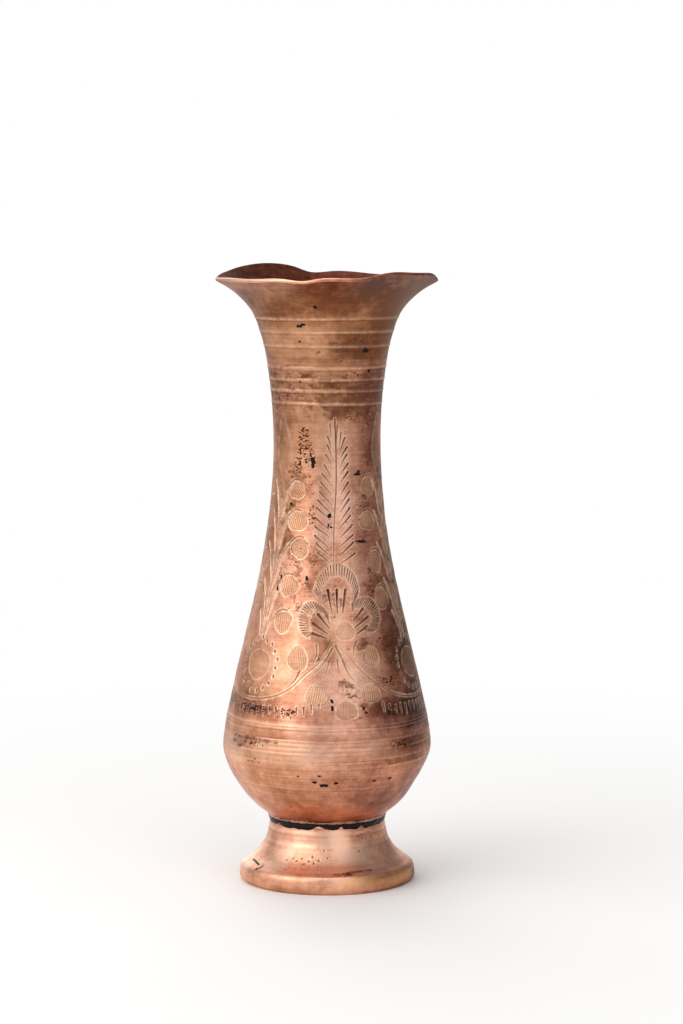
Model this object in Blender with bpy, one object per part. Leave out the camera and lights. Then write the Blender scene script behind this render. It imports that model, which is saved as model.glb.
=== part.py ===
"""Engraved brass flower vase with a flared, lobed mouth.

The vase is an assembly of turned shells: a foot, a closed lower bowl, a tall tapering
body and a mouth. The shells meet in lap joints, and a run of braze seals each joint.

Metres, +Z up. The origin is the centre of the foot's underside, and the front faces -Y.
"""

import math

import bmesh
import bpy
import numpy as np

MM = 0.001

# Driving dimensions.
SEGMENTS = 48  # facets round every turned piece
WALL = 1.6 * MM
GAP = 0.1 * MM  # clearance between pieces that touch on the real vase
LAP = 5.0 * MM  # overlap of a lap joint
BELLY_SEAM = 65.8 * MM
NECK_SEAM = 221.0 * MM
UP, DOWN = 1, -1

# Outside of the lower bowl, the body and the mouth, as (radius, height).
VASE_OUTLINE = np.array([
    (25.0, 28.5), (31.3, 33.5), (37.3, 41.0), (41.8, 49.0), (43.85, 56.0), (43.3, 64.0),
    (40.1, 80.0), (34.5, 104.0), (27.65, 134.0), (23.9, 159.0), (22.45, 188.0),
    (24.0, 212.0), (27.35, 230.0), (31.2, 240.0), (38.2, 248.0), (46.0, 253.2),
]) * MM

# Outside of the foot from the ground up, as (radius, height).
FOOT_OUTLINE = np.array([
    (35.6, 0.0), (36.9, 1.6), (36.9, 4.0), (36.2, 6.6), (33.3, 8.8), (29.8, 11.7),
    (27.2, 15.2), (25.7, 18.2), (25.0, 21.2), (24.2, 25.2),
]) * MM
FOOT_HOLLOW = np.array([
    (33.4, 0.0), (33.4, 5.2), (31.0, 7.6), (27.9, 10.6), (25.3, 14.0), (23.6, 17.0),
]) * MM
FOOT_BORE = 22.4 * MM

# The bowl's underside: a collar, and a hollow stub that drops into the foot.
COLLAR_RADIUS = 25.0 * MM
COLLAR_BOTTOM = 27.2 * MM
STUB_RADIUS = 22.2 * MM
STUB_INSIDE = 20.4 * MM
STUB_BOTTOM = 21.2 * MM
FLOOR_UNDERSIDE = 27.6 * MM
FLOOR_TOP = 29.8 * MM

# Turned ridges stand out of the outside in bands.
RIDGE_HEIGHT = 0.35 * MM
RIDGE_HALF_WIDTH = 0.7 * MM
MOUTH_RIDGES = (226.4 * MM, 232.3 * MM, 237.8 * MM)
BODY_RIDGES = (70.9 * MM, 202.5 * MM, 207.8 * MM, 212.5 * MM, 217.4 * MM)
BOWL_RIDGES = (45.0 * MM, 50.2 * MM)

BEAD_RADIUS = 0.9 * MM  # braze run over an inner seam

# The mouth's hand-shaped edge, as (angle from the front towards +X, lift) round the vase.
# It rises in uneven lobes, which meet in creases.
EDGE = np.array([
    (-90, -0.6), (-65, -0.2), (-41, -0.4), (-24, -0.1), (-12, -0.8), (-3, 0.1), (20, 0.3),
    (34, 2.0), (53, 1.7), (72, 1.3), (88, -0.8), (110, 0.6), (150, -0.2), (174, 0.9),
    (190, 0.6), (200, 2.9), (214, 3.9), (230, 3.2), (249, 1.3), (270, -0.6),
]) * (1, MM)
CREASES = (-12, 24, 150, 190)
CREASE_WIDTH = 7  # degrees
CREASE_PULL = 0.6 * MM  # how far a crease sits inside the lobes' radius
EDGE_START = 234.0 * MM  # the height where the neck starts to leave the round


def smooth(points, steps):
    """A curve through the points, as steps straight stretches between each two."""
    lengths = np.linalg.norm(np.diff(points, axis=0), axis=1)[:, None]
    slopes = np.diff(points, axis=0) / lengths
    inner = (slopes[:-1] * lengths[1:] + slopes[1:] * lengths[:-1]) / (lengths[1:] + lengths[:-1])
    tangents = np.vstack([1.5 * slopes[0] - 0.5 * inner[0], inner, 1.5 * slopes[-1] - 0.5 * inner[-1]])
    curve = []
    for i, length in enumerate(lengths):
        for t in np.arange(steps) / steps:
            ends = (1 + 2 * t) * (1 - t) ** 2 * points[i] + t * t * (3 - 2 * t) * points[i + 1]
            pulls = t * (1 - t) ** 2 * tangents[i] - t * t * (1 - t) * tangents[i + 1]
            curve.append(ends + length * pulls)
    return np.array([*curve, points[-1]])


def inset(curve, depth):
    """The curve moved inwards, at right angles to itself."""
    along = np.gradient(curve, axis=0)
    along /= np.linalg.norm(along, axis=1)[:, None]
    return curve - depth * np.column_stack([along[:, 1], -along[:, 0]])


OUTSIDE = smooth(VASE_OUTLINE, 16)
INSIDE = inset(OUTSIDE, WALL)


def outer(height):
    return np.interp(height, OUTSIDE[:, 1], OUTSIDE[:, 0])


def inner(height):
    return np.interp(height, INSIDE[:, 1], INSIDE[:, 0])


def turned(low, high, count, ridges=()):
    """The outside from low up to high, with its ridges, as (radius, height) points."""
    heights = [z for z in np.linspace(low, high, count)
               if all(abs(z - ridge) > 1.5 * RIDGE_HALF_WIDTH for ridge in ridges)]
    points = [(outer(z), z) for z in heights]
    for ridge in ridges:
        for step, rise in ((-1, 0), (0, RIDGE_HEIGHT), (1, 0)):
            z = ridge + step * RIDGE_HALF_WIDTH
            points.append((outer(z) + rise, z))
    return sorted(points, key=lambda point: point[1])


def bored(high, low, count):
    """The inside from high down to low, as (radius, height) points."""
    return [(inner(z), z) for z in np.linspace(high, low, count)]


def tongue(seam, way):
    """The end of a wall that runs past the seam inside its neighbour, outside first."""
    start = seam - way * GAP
    end = seam + way * (LAP - GAP)
    middle = WALL / 2 + GAP
    return [(outer(start), start), (outer(start) - middle, start),
            (outer(end) - middle, end), (inner(end), end)]


def socket(seam, way):
    """The end of a wall that takes a tongue, outside first."""
    start = seam + way * GAP
    end = seam + way * (LAP + GAP)
    middle = WALL / 2 - GAP
    return [(outer(start), start), (outer(start) - middle, start),
            (outer(end) - middle, end), (inner(end), end)]


def lip():
    """The rounded edge of the mouth, from the outside to the inside."""
    centre = (OUTSIDE[-1] + INSIDE[-1]) / 2
    across = (OUTSIDE[-1] - INSIDE[-1]) / 2
    along = np.array([-across[1], across[0]])
    return [centre + math.cos(a) * across + math.sin(a) * along
            for a in np.radians((0, 50, 90, 130, 180))]


def mouth_section():
    top = OUTSIDE[-1][1] - 3 * MM
    outside = turned(NECK_SEAM + 2 * MM, top, 8, MOUTH_RIDGES)
    inside = bored(top + WALL / 2, NECK_SEAM, 8)
    return [*outside, *lip(), *inside, *reversed(tongue(NECK_SEAM, DOWN))]


def body_section():
    outside = turned(BELLY_SEAM + 2 * MM, NECK_SEAM - 1.5 * MM, 12, BODY_RIDGES)
    inside = bored(NECK_SEAM - 2 * LAP, BELLY_SEAM + 2 * LAP, 7)
    return [*outside, *socket(NECK_SEAM, DOWN), *inside, *reversed(socket(BELLY_SEAM, UP))]


def bowl_section():
    underside = [
        (0, FLOOR_UNDERSIDE), (STUB_INSIDE, FLOOR_UNDERSIDE), (STUB_INSIDE, STUB_BOTTOM),
        (STUB_RADIUS, STUB_BOTTOM), (STUB_RADIUS, COLLAR_BOTTOM), (COLLAR_RADIUS, COLLAR_BOTTOM),
    ]
    outside = turned(VASE_OUTLINE[0][1], BELLY_SEAM - 2 * MM, 9, BOWL_RIDGES)
    inside = bored(BELLY_SEAM - 2 * MM, FLOOR_TOP + 1.6 * MM, 7)
    return [*underside, *outside, *tongue(BELLY_SEAM, UP), *inside,
            (STUB_INSIDE, FLOOR_TOP + 0.4 * MM), (0, FLOOR_TOP)]


def foot_section():
    top = FOOT_OUTLINE[-1][1]
    hollow_top = FOOT_HOLLOW[-1][1] + 1.5 * MM
    return [*smooth(FOOT_OUTLINE, 2), (FOOT_BORE, top), (FOOT_BORE, hollow_top), *FOOT_HOLLOW[::-1]]


def lacquer_section():
    """Black lacquer fills the groove between the foot's top edge and the bowl's collar."""
    low = FOOT_OUTLINE[-1][1] + GAP
    high = COLLAR_BOTTOM - GAP
    back = FOOT_BORE
    return [(back, low), (FOOT_OUTLINE[-1][0], low), (FOOT_OUTLINE[-1][0] + 0.3 * MM, (low + high) / 2),
            (FOOT_OUTLINE[-1][0] + 0.2 * MM, high), (back, high)]


def seam_bead_section(height):
    """A half-round run of braze on the inside wall."""
    points = []
    for a in np.radians((90, 45, 0, -45, -90)):
        z = height + BEAD_RADIUS * math.sin(a)
        points.append((inner(z) - GAP - BEAD_RADIUS * math.cos(a), z))
    return points


def foot_braze_section():
    """A fillet in the corner between the bowl's stub and the foot's bore."""
    wall = FOOT_BORE - GAP
    end = STUB_BOTTOM - GAP
    return [(wall, end), (STUB_INSIDE + 0.4 * MM, end), (wall - 0.7 * MM, end - 1.0 * MM),
            (wall, end - 1.7 * MM)]


def edge_at(angle):
    """(lift, inward pull) of the mouth's edge at this angle from the front, in degrees."""
    curve = smooth(EDGE, 8)
    lift = np.interp((angle - EDGE[0][0]) % 360 + EDGE[0][0], curve[:, 0], curve[:, 1])
    offsets = [(angle - crease + 180) % 360 - 180 for crease in CREASES]
    pull = sum(math.exp(-((offset / CREASE_WIDTH) ** 2)) for offset in offsets)
    return lift, CREASE_PULL * pull


def shape_edge(mesh):
    """Lifts and creases the mouth, more and more towards its edge."""
    span = OUTSIDE[-1][1] - EDGE_START
    for vert in mesh.verts:
        share = (vert.co.z - EDGE_START) / span
        if share <= 0:
            continue
        lift, pull = edge_at(math.degrees(math.atan2(vert.co.x, -vert.co.y)))
        scale = 1 - pull * share ** 2 / math.hypot(vert.co.x, vert.co.y)
        vert.co.x *= scale
        vert.co.y *= scale
        vert.co.z += lift * share ** 2


def turn(name, section, material, shape=None):
    """Spins a section of (radius, height) points into a closed solid."""
    mesh = bmesh.new()
    verts = [mesh.verts.new((float(radius), 0, float(height))) for radius, height in section]
    edges = [mesh.edges.new(pair) for pair in zip(verts, verts[1:])]
    if section[0][0] > 0:
        edges.append(mesh.edges.new((verts[-1], verts[0])))
    bmesh.ops.spin(mesh, geom=verts + edges, cent=(0, 0, 0), axis=(0, 0, 1),
                   angle=math.tau, steps=SEGMENTS, use_merge=True)
    bmesh.ops.remove_doubles(mesh, verts=mesh.verts, dist=0.001 * MM)
    if shape:
        shape(mesh)
    bmesh.ops.recalc_face_normals(mesh, faces=mesh.faces)
    data = bpy.data.meshes.new(name)
    mesh.to_mesh(data)
    mesh.free()
    data.shade_smooth()
    data.set_sharp_from_angle(angle=math.radians(35))
    data.materials.append(material)
    piece = bpy.data.objects.new(name, data)
    bpy.context.scene.collection.objects.link(piece)
    return piece


def make_material(name, colour, roughness, metallic=1.0):
    material = bpy.data.materials.new(name)
    material.use_nodes = True
    surface = material.node_tree.nodes["Principled BSDF"]
    surface.inputs["Base Color"].default_value = (*colour, 1)
    surface.inputs["Roughness"].default_value = roughness
    surface.inputs["Metallic"].default_value = metallic
    material.diffuse_color = (*colour, 1)
    return material


def clear_scene():
    for item in list(bpy.data.objects):
        bpy.data.objects.remove(item)


def build_vase():
    worn = make_material("worn_rose_brass", (0.60, 0.32, 0.19), 0.35)
    engraved = make_material("engraved_rose_brass", (0.66, 0.37, 0.23), 0.38)
    polished = make_material("rubbed_foot_brass", (0.72, 0.42, 0.27), 0.32)
    braze = make_material("braze_metal", (0.66, 0.48, 0.22), 0.5)
    lacquer = make_material("black_lacquer", (0.015, 0.013, 0.012), 0.45, metallic=0.0)

    turn("mouth", mouth_section(), worn, shape_edge)
    turn("body", body_section(), engraved)
    turn("lower_bowl", bowl_section(), worn)
    turn("foot", foot_section(), polished)
    turn("foot_joint_lacquer", lacquer_section(), lacquer)
    turn("neck_braze_ring", seam_bead_section(NECK_SEAM - LAP), braze)
    turn("belly_braze_ring", seam_bead_section(BELLY_SEAM + LAP), braze)
    turn("foot_braze_ring", foot_braze_section(), braze)


clear_scene()
build_vase()
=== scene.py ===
"""Looks of the engraved brass flower vase: fine meshes, metal materials, light and camera.

The vase stands on z = 0 with its axis on Z. A place on its skin is an angle in degrees
from the front (-Y) towards +X, and a height in millimetres. Lengths here are in
millimetres until a mesh is built.
"""

import math

import bpy
import numpy as np
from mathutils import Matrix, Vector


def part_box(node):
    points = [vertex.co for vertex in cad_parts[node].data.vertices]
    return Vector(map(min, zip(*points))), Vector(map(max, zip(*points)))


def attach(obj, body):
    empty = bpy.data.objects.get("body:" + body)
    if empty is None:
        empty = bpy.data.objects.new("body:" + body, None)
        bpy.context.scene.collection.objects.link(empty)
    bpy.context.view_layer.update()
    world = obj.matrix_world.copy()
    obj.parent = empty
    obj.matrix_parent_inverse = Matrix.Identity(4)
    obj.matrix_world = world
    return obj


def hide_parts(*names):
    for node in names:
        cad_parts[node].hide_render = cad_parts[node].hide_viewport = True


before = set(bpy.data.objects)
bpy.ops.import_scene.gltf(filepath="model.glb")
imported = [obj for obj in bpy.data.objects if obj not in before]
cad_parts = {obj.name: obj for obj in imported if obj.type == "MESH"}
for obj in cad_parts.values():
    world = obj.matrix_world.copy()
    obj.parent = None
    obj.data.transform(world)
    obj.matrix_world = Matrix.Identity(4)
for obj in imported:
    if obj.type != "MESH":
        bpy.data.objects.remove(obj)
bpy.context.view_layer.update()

MM = 0.001
WALL = 1.6
HAIRLINE = 0.02  # gap left between neighbouring shells
LAP = 5.0  # how far two walls overlap at a seam
BELLY_SEAM = round(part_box("body")[0].z / MM, 1)
NECK_SEAM = 221.0
UP, DOWN = 1, -1

# Outsides as (radius, height), the same shapes as the CAD model's.
VASE_OUTLINE = np.array([
    (25, 28.5), (31.3, 33.5), (37.3, 41), (41.8, 49), (43.85, 56), (43.3, 64),
    (40.1, 80), (34.5, 104), (27.65, 134), (23.9, 159), (22.45, 188),
    (24, 212), (27.35, 230), (31.2, 240), (38.2, 248), (46, 253.2),
])
FOOT_OUTLINE = np.array([
    (35.6, 0), (36.9, 1.6), (36.9, 4), (36.2, 6.6), (33.3, 8.8), (29.8, 11.7),
    (27.2, 15.2), (25.7, 18.2), (25, 21.2), (24.2, 25.2),
])
FOOT_HOLLOW = np.array([
    (33.4, 0), (33.4, 5.2), (31, 7.6), (27.9, 10.6), (25.3, 14), (23.6, 17),
])
FOOT_TOP, FOOT_BORE = FOOT_OUTLINE[-1][1], 22.4
COLLAR_RADIUS, COLLAR_BOTTOM, COLLAR_TOP = 25.0, 27.2, 28.5
STUB_RADIUS, STUB_INSIDE, STUB_BOTTOM = 22.2, 20.4, 21.2
FLOOR_UNDERSIDE, FLOOR_TOP = 27.6, 29.8

# Heights of the ridges and lines turned round the vase.
MOUTH_RIDGES = (237.8, 232.3, 226.4)
BODY_RIDGES = (217.4, 212.5, 207.8, 202.5)
RIDGE_RISE, RIDGE_WIDTH = 0.17, 0.56
BODY_LINES = (71.4, 70.2)
BELLY_LINES = (67.2, 65.4, 63.6, 61.8, 60.0, 57.9, 56.4, 54.2)
BOWL_LINES = (50.2, 45.0)
FOOT_LINES = (23.3, 18.1)
BAND_TOP = 6.6  # of the foot's golden band

# Black lacquer in the groove over the foot, and where it is chipped: (angle, spread, height).
LACQUER_BOTTOM, LACQUER_TOP = 24.75, 27.7
CHIPS = (
    (-8, 8, 1.4), (14, 3.5, 1.3), (36, 4, 1.2), (-55, 6, 0.7), (120, 9, 1.3), (165, 4, 1.2),
    (212, 12, 1.4), (262, 5, 0.9),
)

# The mouth's hand-shaped edge, as (angle, lift) round the vase. The lobes meet in creases.
EDGE = (
    (-90, -0.6), (-65, -0.2), (-41, -0.4), (-24, -0.1), (-12, -0.8), (-3, 0.1), (20, 0.3),
    (34, 2.0), (53, 1.7), (72, 1.3), (88, -0.8), (110, 0.6), (150, -0.2), (174, 0.9), (190, 0.6),
    (200, 2.9), (214, 3.9), (230, 3.2), (249, 1.3), (270, -0.6),
)
CREASES = (-12, 24, 150, 190)
CREASE_WIDTH = 7
EDGE_START = 234.0  # the height where the neck starts to leave the round
CREASE_PULL = 0.6

COLUMN = 8  # angle of the palm and flower at the front
REPEAT = 120  # the engraving comes three times round the vase
FIELDS = ("lift", "cut", "burr", "fill", "hatch", "tone", "gold", "black", "speck", "rub", "crust",
          "inside")


# ---------------------------------------------------------------- outlines

def smooth(points, steps):
    """A curve through three points or more, in this many straight steps between each two."""
    points = np.asarray(points, float)
    lengths = np.linalg.norm(np.diff(points, axis=0), axis=1)[:, None]
    slopes = np.diff(points, axis=0) / lengths
    middle = (slopes[:-1] * lengths[1:] + slopes[1:] * lengths[:-1]) / (lengths[1:] + lengths[:-1])
    tangents = np.vstack([1.5 * slopes[0] - 0.5 * middle[0], middle,
                          1.5 * slopes[-1] - 0.5 * middle[-1]])
    curve = []
    for i, length in enumerate(lengths):
        for t in np.arange(steps) / steps:
            ends = (1 + 2 * t) * (1 - t) ** 2 * points[i] + t * t * (3 - 2 * t) * points[i + 1]
            pulls = t * (1 - t) ** 2 * tangents[i] - t * t * (1 - t) * tangents[i + 1]
            curve.append(ends + length * pulls)
    return np.array([*curve, points[-1]])


def outwards(curve):
    """Unit vectors at right angles to a curve. They face out of the vase where it rises."""
    along = np.gradient(curve, axis=0)
    along /= np.linalg.norm(along, axis=1)[:, None] + 1e-9
    return np.column_stack([along[:, 1], -along[:, 0]])


def distances(curve):
    """The distance along the curve to each of its points."""
    return np.concatenate([[0], np.cumsum(np.linalg.norm(np.diff(curve, axis=0), axis=1))])


def resample(curve, spacing):
    """The curve as points about one spacing apart."""
    run = distances(curve)
    at = np.linspace(0, run[-1], max(2, round(run[-1] / spacing) + 1))
    return np.column_stack([np.interp(at, run, curve[:, k]) for k in (0, 1)])


OUTSIDE = smooth(VASE_OUTLINE, 24)
INSIDE = OUTSIDE - WALL * outwards(OUTSIDE)


def outer(height):
    return np.interp(height, OUTSIDE[:, 1], OUTSIDE[:, 0])


def inner(height):
    return np.interp(height, INSIDE[:, 1], INSIDE[:, 0])


def stretch(curve, low, high):
    """The part of a rising (radius, height) curve from low to high."""
    heights = curve[:, 1]
    kept = curve[(heights > low) & (heights < high)]
    ends = [(np.interp(z, heights, curve[:, 0]), z) for z in (low, high)]
    return np.vstack([ends[0], kept, ends[1]])


def lap_joint(seam, way, half):
    """The end of a wall at a lap joint, outside first: half is +1 for the tongue that runs
    inside its neighbour and -1 for the socket."""
    start = seam - way * half * HAIRLINE
    end = start + way * LAP
    middle = WALL / 2 + half * HAIRLINE
    return np.array([(outer(start) - middle, start), (outer(end) - middle, end), (inner(end), end)])


def turn(start, angle):
    """Degrees from start to angle, -180 to 180."""
    return (angle - start + 180) % 360 - 180


def facing(angles, angle, spread):
    """1 where the angles meet this one, falling to 0 on both sides."""
    return np.exp(-((turn(angle, angles) / spread) ** 2))


def edge_at(angles):
    """(lift, inward pull) of the mouth's edge at each angle."""
    curve = smooth(EDGE, 12)
    lift = np.interp((angles + 90) % 360 - 90, curve[:, 0], curve[:, 1])
    return lift, CREASE_PULL * sum(facing(angles, crease, CREASE_WIDTH) for crease in CREASES)


def in_space(radius, angle, height):
    """Points in space, from radii, angles in degrees and heights."""
    angle = np.radians(angle)
    points = np.broadcast_arrays(radius * np.sin(angle), -radius * np.cos(angle), height)
    return np.stack(points, axis=-1)


def turned(x, y, angle):
    """The place (x, y) as seen from axes turned by an angle in degrees."""
    c, s = math.cos(math.radians(angle)), math.sin(math.radians(angle))
    return c * x + s * y, c * y - s * x


def ripple(points, size, seed):
    """Smooth noise about -1 to 1 at points in space, with features about this size."""
    random = np.random.default_rng(seed)
    total = np.zeros(points.shape[:-1])
    waves = 14
    for _ in range(waves):
        direction = random.normal(size=3)
        direction *= random.uniform(0.6, 1.5) * math.tau / (2.2 * size) / np.linalg.norm(direction)
        total += np.cos(points @ direction + random.uniform(0, math.tau))
    return total / math.sqrt(waves / 2) / 1.6


# ---------------------------------------------------------------- skins

class Skin:
    """A turned shell as a grid of rows along its section and columns round the axis.

    The section runs up the outside, over the top and down the inside: before and after are
    the parts on each side of the outside. Each of FIELDS is a number for every grid point:
    lift moves it out from the surface, and the rest steer the material.
    """

    def __init__(self, outside, after, columns, before=()):
        self.section = np.vstack([*before, outside, *after])
        self.first = sum(map(len, before))
        self.face = slice(self.first, self.first + len(outside))
        self.radius, self.height = outside[:, 0], outside[:, 1]
        self.angle = np.arange(columns) * 360 / columns
        for name in FIELDS:
            setattr(self, name, np.zeros((len(self.section), columns)))
        self.tone += 0.5
        self.inside += 1
        self.inside[self.face] = 0

    def places(self):
        """Points in space of the whole grid, without lift."""
        return in_space(self.section[:, :1], self.angle, self.section[:, 1:])

    def window(self, angle, height, wide, tall):
        """Grid part round a place, and its points' offsets from that place in mm."""
        rows = np.flatnonzero(np.abs(self.height - height) <= tall)
        least = self.radius[rows].min(initial=self.radius.max())
        offset = turn(angle, self.angle)
        columns = np.flatnonzero(np.abs(offset) <= math.degrees(wide / least))
        across = np.radians(offset[columns])[None, :] * self.radius[rows][:, None]
        along = np.repeat((self.height[rows] - height)[:, None], len(columns), axis=1)
        return np.ix_(self.first + rows, columns), across, along

    def flat(self, path):
        """A path of (angle, height) as mm offsets from its first point."""
        path = np.asarray(path, float)
        radius = np.interp(path[:, 1], self.height, self.radius)
        across = np.radians(path[:, 0] - path[0, 0]) * radius
        return np.column_stack([across, path[:, 1] - path[0, 1]])

    def engrave(self, path, start_width, end_width, depth=0.32, bend=6, burr=1.0, shade=1.0):
        """Cuts a stroke along the path, with a width in mm at each end. A curve takes bend
        straight steps between points. burr is the metal that stands up beside the cut, and
        shade goes from 0, a bright cut, to 1, a dark one."""
        path = smooth(path, bend) if len(path) > 2 else np.asarray(path, float)
        line = self.flat(path)
        reach = np.abs(line).max(axis=0) + 2
        part, x, y = self.window(*path[0], *reach)
        edge = np.full(x.shape, 9.0)
        run = distances(line)
        for (ax, ay), (bx, by), r0, r1 in zip(line, line[1:], run, run[1:]):
            length2 = max((bx - ax) ** 2 + (by - ay) ** 2, 1e-9)
            t = np.clip(((x - ax) * (bx - ax) + (y - ay) * (by - ay)) / length2, 0, 1)
            gap = np.hypot(x - ax - t * (bx - ax), y - ay - t * (by - ay))
            share = (r0 + t * (r1 - r0)) / run[-1]
            width = start_width + share * (end_width - start_width)
            edge = np.minimum(edge, gap - width / 2)
        self.press(part, edge, depth, burr, shade)

    def press(self, part, edge, depth, burr, shade):
        """Sinks the skin where edge, the distance outside a mark, is negative."""
        self.lift[part] = np.minimum(self.lift[part], -np.clip(-edge * 0.8, 0, depth))
        core = np.clip(0.4 - edge / 0.26, 0, 1)
        self.cut[part] = np.maximum(self.cut[part], shade * core)
        self.rub[part] = np.maximum(self.rub[part], (1 - shade) * core)
        rim = burr * np.exp(-(((edge - 0.24) / 0.2) ** 2))
        self.burr[part] = np.maximum(self.burr[part], rim)

    def disc(self, angle, height, wide, tall, hatch_angle, tilt=0, outline=0.42, uneven=0.07,
             fill=1.0):
        """A hatched oval with an engraved outline. wide and tall are half sizes in mm, and
        uneven makes it a little lobed and six-sided, like hand work."""
        part, x, y = self.window(angle, height, wide + 2, tall + 2)
        x, y = turned(x, y, tilt)
        around = np.arctan2(y / tall, x / wide)
        side = (around + height) % (math.tau / 6) - math.pi / 6
        lobes = np.sin(3 * around + height) + 6 * (0.97 / np.cos(side) - 1)
        reach = 1 + uneven * lobes
        edge = (np.hypot(x / wide, y / tall) / reach - 1) * min(wide, tall)
        if outline:
            shade = 0.3 + 0.3 * np.sin(around + height)
            self.press(part, np.abs(edge) - outline / 2, 0.2, 0, shade)
            rim = 1.15 * np.exp(-(((edge - 0.38) / 0.27) ** 2))
            self.burr[part] = np.maximum(self.burr[part], rim)
        within = np.clip(0.5 - (edge + 0.3) / 0.3, 0, 1)
        self.fill[part] = np.maximum(self.fill[part], fill * within)
        self.lift[part] = np.minimum(self.lift[part], -0.08 * within)
        self.hatch[part] = np.where(within > 0, turned(x, y, hatch_angle)[0], self.hatch[part])

    def dab(self, field, places):
        """Pulls a field towards a value round each (angle, height, half width, half height,
        value), each over the ones before it."""
        data = getattr(self, field)
        for angle, height, wide, tall, value in places:
            part, x, y = self.window(angle, height, 1.9 * wide, 1.9 * tall)
            weight = np.exp(-((x / wide) ** 4 + (y / tall) ** 4) ** 0.5)
            data[part] += (value - data[part]) * weight

    def ring(self, height, rise, width, rub, broken=0.25, darkening=0.22):
        """A raised line turned round the skin, rubbed bright on top, with a painted shadow and some
        dirt under it. Its brightness comes and goes more with a higher broken, and painted shade
        dims it at the right."""
        around = np.radians(self.angle)
        wave = 0.6 * np.cos(2 * around + 1.7 * height) + 0.4 * np.cos(7 * around + 2.3 * height)
        sway = 0.12 * np.cos(2 * around + height) + 0.05 * np.cos(17 * around + 3 * height)
        gap = self.height[:, None] - height - sway
        shape = np.exp(-((gap / width) ** 2))
        self.lift[self.face] += rise * shape
        even = np.clip(1 - broken + broken * wave, 0, 2)
        # painted shade: the rubbed brightness is dimmed on the right, the side turned from the
        # lights
        bright = rub * even * (1 - 0.5 * facing(self.angle, 50, 24)) * shape
        self.rub[self.face] = np.maximum(self.rub[self.face], bright)
        # painted shadow, with some dirt, as a dark line just under the raised line
        self.tone[self.face] -= darkening * np.exp(-(((gap + 1.6 * width) / (0.6 * width)) ** 2))

    def mesh(self, name, closed, shape=None):
        """The grid as a mesh object in metres. It is closed if its section runs round to its
        start, and else gets a cap at each end."""
        away = outwards(self.section)
        radius = self.section[:, :1] + self.lift * away[:, :1]
        height = self.section[:, 1:] + self.lift * away[:, 1:]
        if shape:
            radius, height = shape(self.angle, radius, height)
        points = in_space(radius, self.angle, height)
        rows, columns = points.shape[:2]
        i = np.arange(rows if closed else rows - 1)[:, None]
        j = np.arange(columns)[None, :]
        low, high, right = i * columns, (i + 1) % rows * columns, (j + 1) % columns
        quads = np.stack([low + j, low + right, high + right, high + j], axis=-1).reshape(-1, 4)
        points, faces = points.reshape(-1, 3), quads.tolist()
        fields = {field: getattr(self, field).ravel() for field in FIELDS[1:]}
        if not closed:
            for first, forward in ((0, False), ((rows - 1) * columns, True)):
                points, cap = capped(points, first + np.arange(columns), forward)
                faces += cap.tolist()
                fields = {field: np.append(data, data[first]) for field, data in fields.items()}
        return build_mesh(name, points * MM, faces, fields)


def capped(points, ring, forward):
    """The points with one more on the axis, and the triangles from it to a ring of points."""
    points = np.vstack([points, points[ring].mean(axis=0) * (0, 0, 1)])
    tip = np.full(len(ring), len(points) - 1)
    pair = (ring, np.roll(ring, -1)) if forward else (np.roll(ring, -1), ring)
    return points, np.stack([*pair, tip], axis=-1)


def build_mesh(name, points, faces, fields):
    """A smooth mesh object that carries the fields as attributes."""
    data = bpy.data.meshes.new(name)
    data.from_pydata(points, [], faces)
    data.validate()
    data.shade_smooth()
    data.set_sharp_from_angle(angle=math.radians(55))
    for field, values in fields.items():
        attribute = data.attributes.new(field, "FLOAT", "POINT")
        attribute.data.foreach_set("value", values.astype(np.float32))
    piece = bpy.data.objects.new(name, data)
    bpy.context.scene.collection.objects.link(piece)
    return piece


# ---------------------------------------------------------------- engraving

# Strokes as (angle from their column, height).
MIDRIB = [(-2, 138), (-0.5, 155), (1.6, 167), (2, 182), (0.5, 196.5)]
SWAGS = (
    [(-3.5, 106), (-13, 97), (-22, 92), (-31.5, 86), (-44, 82.3), (-60, 80.9)],
    [(-2.5, 105), (5, 100.7), (16, 93), (27, 87.3), (39, 83), (60, 80.9)],
)
SPRIGS = (
    [(-6, 98), (-9.6, 90.7)], [(-1, 98.5), (0, 92)], [(2.5, 98.5), (5, 94), (11, 88.5)],
    [(-4, 103), (-11, 96), (-17, 92)], [(-2, 104), (3, 98), (8, 93.5)],
    [(-15, 104.5), (-14.4, 101), (-17.5, 96)], [(13.6, 105.7), (11, 103), (10.4, 99.8)],
    [(-25, 94), (-28, 90), (-35, 86)],
)
BUD = [(0, 171.5), (-8, 177), (-11.5, 184), (-8, 191.5), (-1, 198), (6.5, 191.5), (11.5, 184),
       (8, 177), (0, 171.5)]

# How far the palm's barbs reach on each side of its midrib, as (height, mm).
BARB_REACH = {
    1: ((141, 9.4), (165, 5.9), (181, 4.8), (190, 4.3)),
    -1: ((143, 7.0), (151, 7.9), (165, 7.2), (174, 5.9), (190, 3.0)),
}
BARBS, LOWEST_BARB, BARB_PITCH = 14, 141.5, 3.65

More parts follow.
